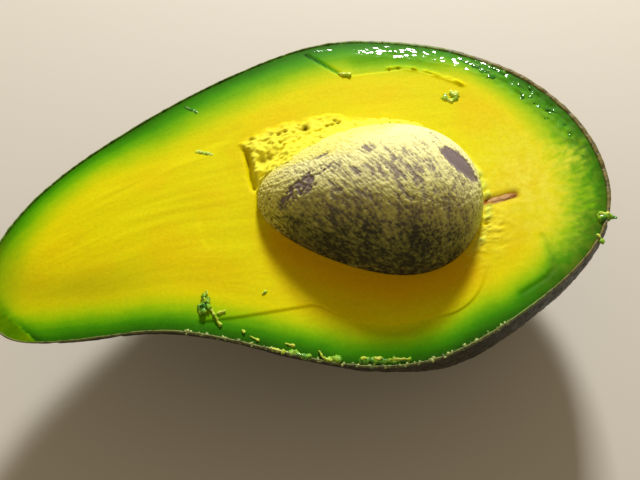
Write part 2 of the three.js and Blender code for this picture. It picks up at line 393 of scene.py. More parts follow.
def tint(red, green, blue):
    # a colour as a picture shows it, made linear
    shares = [c / 255 for c in (red, green, blue)]
    return tuple(((s + 0.055) / 1.055) ** 2.4 if s > 0.04 else s / 12.92 for s in shares) + (1,)


class Nodes:
    # short words for a material's or a group's nodes and links
    def __init__(self, tree):
        self.tree = tree
        tree.nodes.clear()

    def add(self, kind, inputs=None, **settings):
        node = self.tree.nodes.new("ShaderNode" + kind)
        for name, value in settings.items():
            setattr(node, name, value)
        for socket, value in (inputs or {}).items():
            self.put(node.inputs[socket], value)
        return node

    def put(self, socket, value):
        if isinstance(value, bpy.types.NodeSocket):
            self.tree.links.new(value, socket)
        else:
            socket.default_value = value

    def math(self, operation, first, second=0.0, third=0.0):
        return self.add("Math", {0: first, 1: second, 2: third}, operation=operation).outputs[0]

    def range(self, value, low, high, toLow=0.0, toHigh=1.0):
        settings = {"Value": value, "From Min": low, "From Max": high, "To Min": toLow, "To Max": toHigh}
        return self.add("MapRange", settings, interpolation_type="SMOOTHSTEP").outputs["Result"]

    def mix(self, share, first, second, blend="MIX"):
        node = self.add("Mix", data_type="RGBA", blend_type=blend)
        self.put(node.inputs["Factor"], share)
        self.put(node.inputs[6], first)
        self.put(node.inputs[7], second)
        return node.outputs[2]

    def mask(self, name):
        return self.add("Attribute", attribute_name=name).outputs["Fac"]

    def ramp(self, value, stops):
        node = self.add("ValToRGB", {"Fac": value})
        ramp = node.color_ramp
        for position, _ in stops[2:]:
            ramp.elements.new(position)
        for element, (position, _) in zip(ramp.elements, stops):
            element.position = position
        for element, (_, colour) in zip(sorted(ramp.elements, key=lambda e: e.position), stops):
            element.color = colour
        return node.outputs["Color"]

    def group(self, tree, inputs):
        node = self.add("Group", node_tree=tree)
        for name, value in inputs.items():
            self.put(node.inputs[name], value)
        return node.outputs


def newGroup(name, numbers):
    # a group that takes a place, some numbers and two levels, and puts out a noise and its mask
    tree = bpy.data.node_groups.new(name, "ShaderNodeTree")
    nodes = Nodes(tree)
    tree.interface.new_socket(name="Place", in_out="INPUT", socket_type="NodeSocketVector")
    for socketName, value in {**numbers, "Low": 0.4, "High": 0.6}.items():
        socket = tree.interface.new_socket(name=socketName, in_out="INPUT", socket_type="NodeSocketFloat")
        socket.default_value = value
    for socketName in ("Mask", "Noise"):
        tree.interface.new_socket(name=socketName, in_out="OUTPUT", socket_type="NodeSocketFloat")
    return tree, nodes, tree.nodes.new("NodeGroupInput").outputs


def putOut(tree, nodes, start, cloud):
    # the noise, and soft-edged patches of it between the two levels
    end = tree.nodes.new("NodeGroupOutput").inputs
    nodes.put(end["Mask"], nodes.range(cloud, start["Low"], start["High"]))
    nodes.put(end["Noise"], cloud)
    return tree


def makePatches():
    tree, nodes, start = newGroup("patches", {"Scale": 1.0, "Detail": 3.0})
    inputs = {"Vector": start["Place"], "Scale": start["Scale"], "Detail": start["Detail"]}
    cloud = nodes.add("TexNoise", inputs)
    return putOut(tree, nodes, start, cloud.outputs["Fac"])


def makeFibres():
    # fine streaks that run along one axis of a turned space
    tree, nodes, start = newGroup("fibres", {"Turn": 0.0, "Along": 0.1, "Across": 1.0})
    inputs = {"Vector": start["Place"], "Angle": start["Turn"]}
    turned = nodes.add("VectorRotate", inputs, rotation_type="Z_AXIS")
    stretch = nodes.add("CombineXYZ", {"X": start["Along"], "Y": start["Across"], "Z": start["Across"]})
    scaled = nodes.add("VectorMath", {0: turned.outputs[0], 1: stretch.outputs[0]}, operation="MULTIPLY")
    cloud = nodes.add("TexNoise", {"Vector": scaled.outputs[0], "Scale": 1.0, "Detail": 3.0})
    return putOut(tree, nodes, start, cloud.outputs["Fac"])


patches = makePatches()
fibres = makeFibres()


def newMaterial(name):
    material = bpy.data.materials.new(name)
    material.use_nodes = True
    nodes = Nodes(material.node_tree)
    coordinates = nodes.add("TexCoord").outputs["Object"]
    place = nodes.add("Mapping", {"Vector": coordinates, "Scale": (1000, 1000, 1000)}).outputs[0]
    return material, nodes, place


def patchesAt(nodes, place, scale, detail, low=0.4, high=0.6):
    return nodes.group(patches, {"Place": place, "Scale": scale, "Detail": detail, "Low": low, "High": high})


def surface(nodes, colour, roughness, height=None, bump=0.1, **constants):
    shader = nodes.add("BsdfPrincipled")
    nodes.put(shader.inputs["Base Color"], colour)
    nodes.put(shader.inputs["Roughness"], roughness)
    for name, value in constants.items():
        nodes.put(shader.inputs[name.replace("_", " ")], value)
    if height is not None:
        relief = nodes.add("Bump", {"Height": height, "Strength": 1.0, "Distance": bump * mm})
        nodes.put(shader.inputs["Normal"], relief.outputs[0])
    output = nodes.add("OutputMaterial")
    nodes.put(output.inputs["Surface"], shader.outputs[0])


# The flesh's colours, from the skin inwards, and where each is reached in the width of the green band.
fleshLook = {
    "greens": [
        (0.0, tint(36, 84, 2)),
        (0.14, tint(46, 112, 0)),
        (0.3, tint(66, 142, 0)),
        (0.46, tint(108, 172, 0)),
        (0.62, tint(156, 196, 0)),
        (0.8, tint(196, 208, 0)),
        (1.0, tint(222, 214, 0)),
    ],
    "deep": tint(226, 204, 0),
    "light": tint(234, 226, 10),
    "shade": tint(206, 192, 0),
    "pale": tint(234, 226, 70),
    "torn": tint(248, 240, 72),
    # painted shadow: a warm orange for the flesh on the seed's near side, where its shadow falls
    "seedShadowTint": tint(226, 168, 0),
    "rimLight": tint(222, 234, 96),
    # painted shade: a darker orange deep in the seed's hollow
    "hollow": tint(180, 130, 2),
    "olive": tint(158, 158, 4),
    # a browner colour along the strand's groove
    "grooveBrown": tint(160, 100, 40),
    # painted shade: a dark olive inside the holes in the torn flesh
    "pitShade": tint(150, 134, 0),
    "cloud": (0.16, 4.0),  # patterns: scale, detail and, where it matters, the two levels
    "broad": (0.06, 2.0, 0.4, 0.62),
    "mottle": (0.5, 4.0),
    "fine": (1.7, 3.0),
    "drops": (1.2, 1.0, 0.46, 0.54),
    "roughness": 0.55,
}


def fleshMaterial():
    look = fleshLook
    material, nodes, place = newMaterial("avocadoFlesh")
    cloud = patchesAt(nodes, place, *look["cloud"])["Noise"]
    depthIn = nodes.math("MULTIPLY_ADD", nodes.math("SUBTRACT", cloud, 0.5), 0.2, nodes.mask("band"))
    colour = nodes.ramp(depthIn, look["greens"])
    broad = patchesAt(nodes, place, *look["broad"])
    inner = nodes.range(depthIn, 0.9, 1.3)
    colour = nodes.mix(nodes.math("MULTIPLY", inner, broad["Mask"]), colour, look["deep"])
    for name in ("light", "shade"):
        colour = nodes.mix(nodes.math("MULTIPLY", inner, nodes.mask(name)), colour, look[name])
    colour = nodes.mix(nodes.mask("olive"), colour, look["olive"])
    mottle = patchesAt(nodes, place, *look["mottle"])
    paleShare = nodes.math("MULTIPLY", nodes.mask("pale"), nodes.range(mottle["Noise"], 0.35, 0.65, 0.3, 1.0))
    colour = nodes.mix(paleShare, colour, look["pale"])
    for name in ("seedShadowTint", "torn", "pitShade", "hollow", "rimLight", "grooveBrown"):
        colour = nodes.mix(nodes.mask(name), colour, look[name])
    fine = patchesAt(nodes, place, *look["fine"])["Noise"]
    grain = nodes.ramp(fine, [(0.32, (0.94, 0.94, 0.9, 1)), (0.68, (1.03, 1.03, 1.04, 1))])
    colour = nodes.mix(1.0, colour, grain, "MULTIPLY")
    drops = patchesAt(nodes, place, *look["drops"])
    wet = nodes.math("MULTIPLY", nodes.mask("wet"), drops["Mask"])
    surface(
        nodes,
        colour,
        look["roughness"],
        fine,
        0.02,
        Coat_Weight=wet,
        Coat_Roughness=0.07,
        Subsurface_Weight=0.15,
        Subsurface_Radius=(1.0, 0.6, 0.1),
        Subsurface_Scale=0.0012,
        Specular_IOR_Level=0.04,
    )
    return material


# The green band by the skin: how wide it is, and what makes it paler or darker, in shares of its width.
bandForm = {
    "width": 8,
    "farSide": (-6, 14),  # where across the fruit the far side begins and is full
    "farWidening": (3.2, (-52, 36, 24)),  # by how much; its start, end and fade along the fruit
    "rightWidening": (3.8, (30, 44)),
    "rightStreaks": (0.26, (34, 44), (-26, 8, 8), (0.5, 3)),  # strength; along, across and in from the skin
    "farPaler": (0.12, (-50, -30)),
    "stemPaler": (0.12, (-66, -56), (1, 3)),
    "darkerLines": [("scratch", 0.35, 0.35), ("fold", 0.16, 1.0)],  # name, amount and width
    # the ridge is paler partly as its own torn flesh and partly as painted light on its back-lit top
    "paler": (0.05, 0.12),  # on the streaks and on the ridge
    "darker": (0.06, 0.1),  # under the step and past the slice
    # painted light: the facet takes a fixed mid green, lighter than its place in the band, to offset the
    # shade it falls in
    "facet": (0.5, 0.1, 0.16, 0.9),  # level and swing; amount and width of its crease
}

# Marks on the cut: lines with their width and strength, and ovals with their size, turn and strength.
fleshMarks = {
    "lightLines": [
        ([(-51.6, 10.4), (-36.9, 14.4), (-22.4, 13.8)], 0.9, 1.0),
        ([(-49.1, 8.9), (-35.4, 10.8), (-18.7, 16.8)], 0.7, 0.8),
        ([(-27.7, 0.6), (-27.4, -4.8), (-26.5, -7.1)], 0.35, 0.6),
        ([(-21.1, 10.4), (-20.9, 8.4), (-20.3, 7.1)], 0.3, 0.7),
    ],
    "darkLines": [
        ([(-45.6, 15.1), (-34.6, 17.2), (-16.3, 19.4)], 1.0, 1.0),
        ([(-44.5, -11.5), (-49.0, -11.9)], 0.5, 1.0),
        ([(-48.8, 0.8), (-51, -0.4), (-48.2, -2.3)], 0.4, 0.5),
        ([(-25.3, -17.9), (-22.9, -19.1), (-19.3, -21.3)], 0.4, 0.7),
    ],
    "pale": [((36, -6), (8, 12), 0.0, 0.9)],
    # painted sheen: a pale patch by the rim at the blossom end, broken up by noise, added to the pale mask
    "sheen": [((46, -1.5), (3, 3.5), 0.0, 0.7)],
    "olive": [((-50, -9.6), (14, 4), math.radians(-4), 0.6), ((-63, -4), (5, 6), 0.0, 0.5)],
}


def drawLines(x, y, lines):
    return sum(strength * along(x, y, points, width) for points, width, strength in lines)


def drawOvals(x, y, ovals):
    return sum(strength * around(x, y, place, size, turn) for place, size, turn, strength in ovals)


def greenBand(x, y, inFrom, streaks, rimward):
    # how far in from the skin a place lies, in shares of the green band's width there
    form = bandForm
    farSide = smoothstep(y, *form["farSide"])
    farMore, farRun = form["farWidening"]
    rightMore, rightRun = form["rightWidening"]
    width = form["width"] + farMore * farSide * within(x, *farRun) + rightMore * smoothstep(x, *rightRun)
    strength, lengthRun, crossRun, inRun = form["rightStreaks"]
    rightEnd = smoothstep(x, *lengthRun) * within(y, *crossRun)
    band = inFrom / width + strength * rightEnd * np.clip(rimward, -0.3, 1) * smoothstep(inFrom, *inRun)
    farShift, farEnd = form["farPaler"]
    stemShift, stemEnd, stemIn = form["stemPaler"]
    band = band + farShift * farSide * (1 - smoothstep(x, *farEnd))
    band = band + stemShift * (1 - smoothstep(x, *stemEnd)) * smoothstep(inFrom, *stemIn)
    # partly painted light: the ridge is paler, partly its own torn flesh, partly the light on its back-lit
    # top
    band = band + form["paler"][0] * streaks + form["paler"][1] * ridgeShare(x, y)
    band = band - form["darker"][0] * underStep(x, y) - form["darker"][1] * beyondSlice(x, y)
    for name, amount, reach in form["darkerLines"]:
        band = band - amount * along(x, y, cutFace[name], reach)
    level, swing, crease, creaseWidth = form["facet"]
    outside = beyondFacet(x, y)
    # painted light: past the facet's edge the green is set lighter, to offset the shade the facet falls in
    return np.where(outside > 0, level + swing * rimward, band - crease * bell(outside, creaseWidth))


# The cut flesh is one closed body: the seed's hollow, its torn lip, the cut face and the side under
# the skin.
fleshForm = {
    "meridians": 480,
    "hollowRings": 16,
    "lipRings": 44,
    "faceRings": 124,
    "sideRings": 14,
    "hollowGap": 0.12,
    "lip": [(54, 0), (64, 20), (82, 42), (105, 46), (131, 52), (147, 48), (158, 42), (166, 24), (174, 0)],
    "lipRag": 9,  # degrees that its edge wanders
    "lipThickness": 2.2,
    "lipTaper": (128, 158),  # degrees where it stops running down to the cut face
    "edgeRoll": 0.25,  # how thick the hollow's edge is where nothing is torn
    "lipTuck": 0.35,  # how far the torn edge presses into the seed's film
    "lipReach": (2.4, 0.8),  # how far out the torn lip runs down to the cut face, and elsewhere
    "skinOverlap": 0.04,
    "sideStart": 0.25,  # how far under the cut face the side begins
    "sideGap": 0.05,
    "bottomGap": 0.02,
    "wetZone": ((-6, 6), (10, 22), (0.3, 6.4, 1.8)),  # across, along, and in from the skin
    "rightDrops": (0.8, 34, 42),  # how much higher they are at the right, and where
    "fibres": (0.34, 26, -15.5, 6.5),  # height, and the middle and reach of the frayed patch at the blunt end
    "drops": (0.17, 1.35),  # height and size of the wet relief along the far rim
    "membrane": (0.5, 0.75, 1.3),  # height, width and distance of the torn film around the seed's blunt end
}


def lipElevation(seedAround):
    # how far up the seed's side the torn lip reaches, and how much flesh is torn there
    degrees, height = np.array(fleshForm["lip"]).T
    reach = np.interp(np.degrees(seedAround), degrees, height)
    spot = np.stack([np.cos(seedAround) * 9, np.sin(seedAround) * 9, 0 * seedAround], axis=1)
    torn = smoothstep(reach, 0, 22)
    return np.radians(np.maximum(0, reach + torn * fleshForm["lipRag"] * noiseOver(spot, 1.3, 4))), torn


def skinThickness(rimAround):
    # the skin shows as a thin line on the near side, and as a wider one at the far right
    thin, thick = skinForm["thickness"]
    degrees = (np.degrees(rimAround) + 90) % 360
    return thin + (thick - thin) * within(degrees, 50, 185, 45)


def fleshBody():
    form = fleshForm
    counts = [form["hollowRings"], form["lipRings"], form["faceRings"], form["sideRings"]]
    ends = np.cumsum(counts)
    body, ring, share = ballOf(form["meridians"], int(ends[-1]))
    seedAround = np.interp(share, seedShares, seedAngles)
    rimAround = np.interp(share, rimShares, rimAngles)
    lipAngle, torn = lipElevation(seedAround)

    lip = seedSurface(unitBall(seedAround, lipAngle), form["hollowGap"] / 2 - form["lipTuck"] * torn)
    thick = form["hollowGap"] + form["edgeRoll"] + torn * form["lipThickness"]
    shoulder = seedSurface(unitBall(seedAround, lipAngle * 0.5), thick)
    outline = seedSurface(unitBall(seedAround, 0 * lipAngle), form["hollowGap"])
    outward = outline - np.array([*seedForm["centre"], fruit["cutHeight"]])
    outward /= np.linalg.norm(outward, axis=1)[:, None]
    taper = 1 - smoothstep(np.degrees(seedAround), *form["lipTaper"])
    reach = form["lipReach"][1] + torn * taper * form["lipReach"][0]
    base = outline + outward * reach[:, None]
    rimUnit = unitBall(rimAround, 0 * rimAround)
    inset = skinThickness(rimAround) - form["skinOverlap"]
    rim = fruitSurface(rimUnit, -inset)
    rim[:, 2] = cutHeightAt(rim[:, 0], rim[:, 1])

    # the cut face's places in plan, and its relief
    onFace = (ring > ends[1]) & (ring <= ends[2])
    t = np.clip((ring - ends[1]) / counts[2], 0, 1)[:, None]
    plane = base + (rim - base) * t
    mound, tornHere, pitShade = tornMound(plane[:, 0], plane[:, 1])
    plane[:, 2] = cutHeightAt(plane[:, 0], plane[:, 1]) + mound
    baseMound, baseTorn, _ = tornMound(base[:, 0], base[:, 1])
    base[:, 2] = cutHeightAt(base[:, 0], base[:, 1]) + baseMound

    places = np.zeros((len(ring), 3))
    hollow = ring <= ends[0]  # from its bottom up to the lip
    elevation = -np.pi / 2 + ring / counts[0] * (lipAngle + np.pi / 2)
    places[hollow] = seedSurface(unitBall(seedAround, elevation), form["hollowGap"])[hollow]
    onLip = (ring > ends[0]) & (ring <= ends[1])  # rolling over and down to the cut face
    t = ((ring - ends[0]) / counts[1])[:, None]
    curve = (1 - t) ** 2 * lip + 2 * t * (1 - t) * shoulder + t**2 * base
    places[onLip] = curve[onLip]
    places[onFace] = plane[onFace]
    side = ring > ends[2]  # under the skin
    t = np.clip((ring - ends[2]) / counts[3], 0, 1)
    sideTop = rim[:, 2] - form["sideStart"] - fruit["cutHeight"]
    start = np.arcsin(np.clip(sideTop / depth(rimUnit[:, 0]), -1, 1))
    elevation = start - t * (np.pi / 2 + start)
    places[side] = fruitSurface(unitBall(rimAround, elevation), -inset - form["sideGap"])[side]

    places[:, 2] = np.maximum(places[:, 2], skinForm["thickness"][0] + form["bottomGap"])
    x, y = places[:, 0], places[:, 1]
    away = fromSeed(x, y)
    inFrom = fromRimSquarely(x, y)
    upper = np.where(onFace | onLip, 1.0, 0.0)
    rough = np.where(onFace, tornHere, np.where(onLip, np.maximum(torn, baseTorn), 0))
    crossRun, lengthRun, inRun = form["wetZone"]
    wet = smoothstep(y, *crossRun) * smoothstep(x, *lengthRun) * within(inFrom, *inRun) * upper
    dropHeight, dropSize = form["drops"]
    higher, higherStart, higherEnd = form["rightDrops"]
    dropHeight = dropHeight * (1 + higher * smoothstep(x, higherStart, higherEnd))
    places[:, 2] += wet * dropHeight * noiseOver(places, dropSize, 2, 31.0)
    fibreHeight, fibreX, fibreY, fibreReach = form["fibres"]
    frayed = around(x, y, (fibreX, fibreY), (fibreReach, fibreReach)) * (1 - smoothstep(away, 3, 8)) * upper
    radial = noiseOver(np.stack([seedAround * 13, away / 2.6, 0 * away], axis=1), 1.0, 5, 4.0)
    membraneHeight, membraneWidth, membraneAt = form["membrane"]
    blunt = smoothstep(x, 18, 25) * upper * (0.6 + 0.8 * radial)
    membrane = bell(away - membraneAt, membraneWidth) * blunt
    dragHeight, dragSize = cutFace["drag"]
    rippleHeight, rippleSize = cutFace["ripple"]
    ripples = rippleHeight * noiseOver(places, rippleSize, 1, 2.0) * within(x, -34, -14, 8)
    places[:, 2] += upper * (dragHeight * noiseOver(places, dragSize, 2) + ripples)
    places[:, 2] += frayed * fibreHeight * (radial + 0.3) + membrane * membraneHeight
    moveTo(body, places)
    roughHeight, roughSize = tornForm["rough"]
    crumblyHeight, crumblySize = tornForm["crumbly"]
    lumps = roughHeight * noiseOver(places, roughSize, 3, 7.0)
    lumps = lumps + crumblyHeight * noiseOver(places, crumblySize, 2, 1.0)
    displace(body, rough * (lumps + 0.05))

    # how far in from the skin the green reaches, and the colours that vary over the cut
    place = np.clip(2 * (x - fruit["middle"]) / fruit["length"], -0.99, 0.99)
    across = (y - centreline(place)) / (halfWidth(place) * np.sqrt(1 - place**2))
    streaks = 0.7 * noiseOver(np.stack([x / 17, across * 19, 0 * x], axis=1), 1.0, 4, 12.0)
    streaks = streaks * (0.45 + 0.55 * (1 - smoothstep(x, -24, -6)))
    rimward = noiseOver(np.stack([rimAround * 44, inFrom / 2.6, 0 * inFrom], axis=1), 1.0, 4, 8.0)
    marks = fleshMarks
    # the pale mask is partly real pale flesh and partly the painted sheen by the rim at the blossom end
    pale = drawOvals(x, y, marks["pale"]) + drawOvals(x, y, marks["sheen"]) * np.clip(0.5 + rimward, 0, 1)
    lines = drawLines(x, y, marks["lightLines"])
    darker = drawLines(x, y, marks["darkLines"])
    olive = drawOvals(x, y, marks["olive"])
    olive = olive * (beyondFacet(x, y) < 0)
    # painted shadow: the flesh on the seed's near side, where its shadow falls, is tinted warm orange
    seedShadowTint = smoothstep(-y, -2, 8) * (1 - smoothstep(away, 2, 9)) * within(x, -22, 28, 12) * upper
    masks = {
        "band": np.clip(greenBand(x, y, inFrom, streaks, rimward), 0, 3),
        "torn": np.clip(rough * 1.15 + 0.7 * frayed * (0.4 + radial), 0, 1) * 0.92,
        "seedShadowTint": 0.75 * seedShadowTint,
        "rimLight": np.clip(1.3 * membrane, 0, 0.9) * smoothstep(y, -22, -16),
        # painted shade: the flesh is darker the deeper it lies in the seed's hollow
        "hollow": np.where(hollow, 1 - smoothstep(places[:, 2] - fruit["cutHeight"], -3, 0.2), 0),
        "pale": np.clip(pale, 0, 1) * upper,
        # the ridge's share here is partly its paler flesh and partly painted light on its back-lit top
        "light": np.clip(0.9 * streaks + 0.8 * lines + 0.9 * ridgeShare(x, y), 0, 1) * upper,
        "shade": np.clip(-0.9 * streaks + 0.8 * darker, 0, 1) * upper,
        "olive": np.clip(olive, 0, 1) * upper,
        "pitShade": np.where(onFace, pitShade, 0),
        # browner along the strand's groove
        "grooveBrown": np.clip(1.2 * along(x, y, cutFace["groove"], 0.75), 0, 1) * upper,
        "wet": np.clip(wet, 0, 1),
    }
    finishPiece(body, "cutFlesh", fleshMaterial(), "flesh", masks)


# The skin: pebbled outside, a ragged cut edge and a smooth inside.
skinForm = {
    "meridians": 440,
    "outsideRings": 92,
    "edgeRings": 6,
    "insideRings": 18,
    "thickness": (0.42, 0.95),  # on the near side and at the far right
    "pebble": (2.6, 0.32),  # size and height
    "undulation": (9, 0.35),
    "raggedness": (1.3, 0.22),
    "edgeForm": (0.1, 0.18),  # how far it stands over the cut face, and how round it is
    "scar": (3.4, 0.5),  # radius and height
}
skinLook = {
    "dark": tint(26, 30, 13),
    "light": tint(52, 55, 24),
    "brown": tint(58, 44, 26),
    "speck": tint(112, 106, 72),
    "edge": tint(104, 136, 44),
    "paleEdge": tint(118, 126, 62),
    "brownEdge": tint(118, 108, 50),
    "scar": tint(122, 98, 66),
    "broad": (0.09, 4.0, 0.36, 0.64),  # patterns: scale, detail and the two levels
    "fine": (0.9, 5.0, 0.35, 0.65),
    "specks": (1.7, 2.0, 0.66, 0.72),
}


def skinMaterial():
    look = skinLook
    material, nodes, place = newMaterial("avocadoSkin")
    broad = patchesAt(nodes, place, *look["broad"])
    fine = patchesAt(nodes, place, *look["fine"])
    colour = nodes.mix(broad["Mask"], look["dark"], look["light"])
    colour = nodes.mix(nodes.math("MULTIPLY", fine["Mask"], 0.45), colour, look["brown"])
    colour = nodes.mix(nodes.range(nodes.mask("pebble"), 0.0, 0.9, 0.55, 0.0), colour, look["dark"])
    specks = patchesAt(nodes, place, *look["specks"])
    colour = nodes.mix(nodes.math("MULTIPLY", specks["Mask"], 0.55), colour, look["speck"])
    colour = nodes.mix(nodes.mask("scar"), colour, look["scar"])
    edge = nodes.math("MULTIPLY", nodes.mask("edge"), nodes.range(fine["Noise"], 0.35, 0.55, 0.35, 1.0))
    cutColour = nodes.mix(nodes.mask("nearEdge"), look["edge"], look["paleEdge"])
    cutColour = nodes.mix(nodes.mask("rightEdge"), cutColour, look["brownEdge"])
    colour = nodes.mix(edge, colour, cutColour)
    roughness = nodes.range(fine["Noise"], 0.3, 0.7, 0.38, 0.6)
    surface(nodes, colour, roughness, fine["Noise"], 0.35, Specular_IOR_Level=0.3)
    return material


def skinShell():
    form = skinForm
    counts = [form["outsideRings"], form["edgeRings"], form["insideRings"]]
    ends = np.cumsum(counts)
    body, ring, share = ballOf(form["meridians"], int(ends[-1]))
    rimAround = np.interp(share, rimShares, rimAngles)
    thickness = skinThickness(rimAround)
    edge = fruitSurface(unitBall(rimAround, 0 * rimAround), -thickness / 2)
    ragSize, ragHeight = form["raggedness"]
    stand, roundness = form["edgeForm"]
    top = cutHeightAt(edge[:, 0], edge[:, 1]) + ragHeight * noiseOver(edge, ragSize, 3) + stand
    start = np.arcsin(np.clip((top - fruit["cutHeight"]) / depth(np.cos(rimAround)), -1, 1))

    # ring 0 is the top pole of the ball, which becomes the middle of the inside's bottom
    places = np.zeros((len(ring), 3))
    inside = ring <= counts[2]
    t = np.clip(ring / counts[2], 0, 1)
    elevation = -np.pi / 2 + t * (start + np.pi / 2)
    inner = fruitSurface(unitBall(rimAround, elevation), -thickness)
    places[inside] = inner[inside]
    outside = ring >= counts[2] + counts[1]
    t = np.clip((ring - counts[2] - counts[1]) / counts[0], 0, 1)
    elevationOut = start - t * (start + np.pi / 2)
    unit = unitBall(rimAround, elevationOut)
    outer = fruitSurface(unit, 0)
    pebbleSize, pebbleHeight = form["pebble"]
    slowSize, slowHeight = form["undulation"]
    pebbles = np.abs(noiseOver(outer, pebbleSize, 2)) * -2 + 0.5
    rise = pebbleHeight * pebbles + slowHeight * noiseOver(outer, slowSize, 1)
    outer = fruitSurface(unit, rise * smoothstep(t, 0, 0.03))
    places[outside] = outer[outside]
    onEdge = ~inside & ~outside
    t = (ring - counts[2]) / counts[1]
    innerTop = fruitSurface(unitBall(rimAround, start), -thickness)
    outerTop = fruitSurface(unitBall(rimAround, start), 0)
    across = innerTop + (outerTop - innerTop) * t[:, None]
    across[:, 2] += roundness * np.sin(np.pi * np.clip(t, 0, 1))
    places[onEdge] = across[onEdge]

    # the stem's scar, and the flat spot that the fruit rests on
    scarRadius, scarHeight = form["scar"]
    stemX = fruit["middle"] - fruit["length"] / 2
    stem = np.array([stemX, float(centreline(np.array(-1.0))), fruit["cutHeight"]])
    distance = np.linalg.norm(places - stem, axis=1)
    scar = 1 - smoothstep(distance, scarRadius * 0.8, scarRadius * 1.15)
    places[:, 0] -= np.where(outside, scar * scarHeight, 0)
    places[:, 2] = np.maximum(places[:, 2], np.where(inside, form["thickness"][0], 0))
    moveTo(body, places)
    inFrom = np.maximum(0, top - places[:, 2])
    masks = {
        "pebble": np.where(outside, np.clip(pebbles, 0, 1), 0.5),
        "edge": np.where(inside, 1.0, 1 - smoothstep(inFrom, 0.05, 0.35)),
        "scar": np.where(outside, scar, 0),
        "nearEdge": smoothstep(-places[:, 1], 10, 18) * (1 - smoothstep(places[:, 0], 18, 30)),
        "rightEdge": smoothstep(places[:, 0], 24, 40),
    }
    finishPiece(body, "avocadoRind", skinMaterial(), "skin", masks)


# The seed, in its brown coat with a pale film of flesh on it. Its coat and film come in lit and shaded
# copies: painted light on the side facing the key light and painted shade on its near, lower side.
seedLook = {
    "filmPaleLit": tint(250, 245, 170),
    "film": tint(200, 194, 104),
    "filmShaded": tint(128, 124, 58),
    "yellow": tint(240, 230, 84),
    "coat": tint(150, 138, 122),
    "coatShaded": tint(62, 60, 40),
    "bare": tint(128, 114, 116),
    "greenEdge": tint(196, 216, 56),
    "grain": (1.9, 4.0),  # scale and detail
    "strokes": {"Turn": 1.1, "Along": 0.45, "Across": 2.1},
}
seedMesh = {"around": 300, "along": 230, "filmHeight": 0.24, "grainHeight": 0.1}

# Marks on the seed, seen from above in shares of its own half length and half width.
seedMarks = {
    "thin": [  # place, size, and how much of the film is missing
        ((-0.07, 0.2), (0.1, 0.07), 0.5),
        ((-0.15, -0.12), (0.06, 0.06), 0.45),
        ((-0.42, 0.2), (0.09, 0.025), 0.8),
        ((0.35, -0.1), (0.3, 0.16), 0.16),
        ((0.1, -0.1), (0.25, 0.2), 0.1),
    ],
    "thinTurn": 0.5,
    "bare": ((0.73, 0.11), math.radians(-46), (0.21, 0.115)),  # place, turn and size
    "rubbed": ((-0.63, -0.27), math.radians(50), (0.28, 0.105)),
    "steepRun": (0.84, 0.54),  # the way of the strokes on its flank
    "flatRun": (0.4, 0.9),  # and near its near side
}


def seedMaterial():
    look = seedLook
    material, nodes, place = newMaterial("avocadoSeed")
    lift = nodes.mask("lift")
    grain = patchesAt(nodes, place, *look["grain"])["Noise"]
    strokes = nodes.group(fibres, {"Place": place, **look["strokes"]})["Noise"]
    # painted light and shade: the lift mask picks lit or shaded copies of the coat and the film
    coat = nodes.mix(nodes.range(lift, 0.15, 0.75), look["coatShaded"], look["coat"])
    coat = nodes.mix(nodes.mask("bare"), coat, look["bare"])
    film = nodes.mix(nodes.range(lift, 0.1, 0.6), look["filmShaded"], look["film"])
    film = nodes.mix(nodes.range(lift, 0.62, 0.95), film, look["filmPaleLit"])
    film = nodes.mix(nodes.mask("yellow"), film, look["yellow"])
    film = nodes.mix(nodes.mask("greenEdge"), film, look["greenEdge"])
    rag = nodes.math("ADD", nodes.math("MULTIPLY", grain, 0.6), nodes.math("MULTIPLY", strokes, 0.9))
    covered = nodes.math("ADD", nodes.mask("film"), nodes.math("SUBTRACT", rag, 0.75))
    share = nodes.range(covered, 0.25, 0.75)
    colour = nodes.mix(share, coat, film)
    # the film's thickest, highest spots are lightened: partly thicker film, partly a painted highlight
    peaks = nodes.math("MULTIPLY", nodes.range(covered, 0.7, 1.05), 0.35)
    colour = nodes.mix(peaks, colour, look["filmPaleLit"])
    shade = nodes.ramp(rag, [(0.55, (0.84, 0.84, 0.84, 1)), (0.95, (1.08, 1.08, 1.08, 1))])
    colour = nodes.mix(1.0, colour, shade, "MULTIPLY")
    roughness = nodes.range(nodes.mask("bare"), 0, 1, 0.75, 0.5)
    height = nodes.math("MULTIPLY", rag, nodes.math("SUBTRACT", 1.0, nodes.mask("bare")))
    surface(nodes, colour, roughness, height, 0.3, Specular_IOR_Level=0.25)
    return material


def ovalMask(unit, centre, turn, size):
    # a firm-edged oval on the seed, seen from above
    dx, dy = unit[:, 0] - centre[0], unit[:, 1] - centre[1]
    cos, sin = math.cos(turn), math.sin(turn)
    reach = np.hypot((dx * cos + dy * sin) / size[0], (dy * cos - dx * sin) / size[1])
    return (1 - smoothstep(reach, 0.6, 1.25)) * smoothstep(unit[:, 2], 0, 0.2)


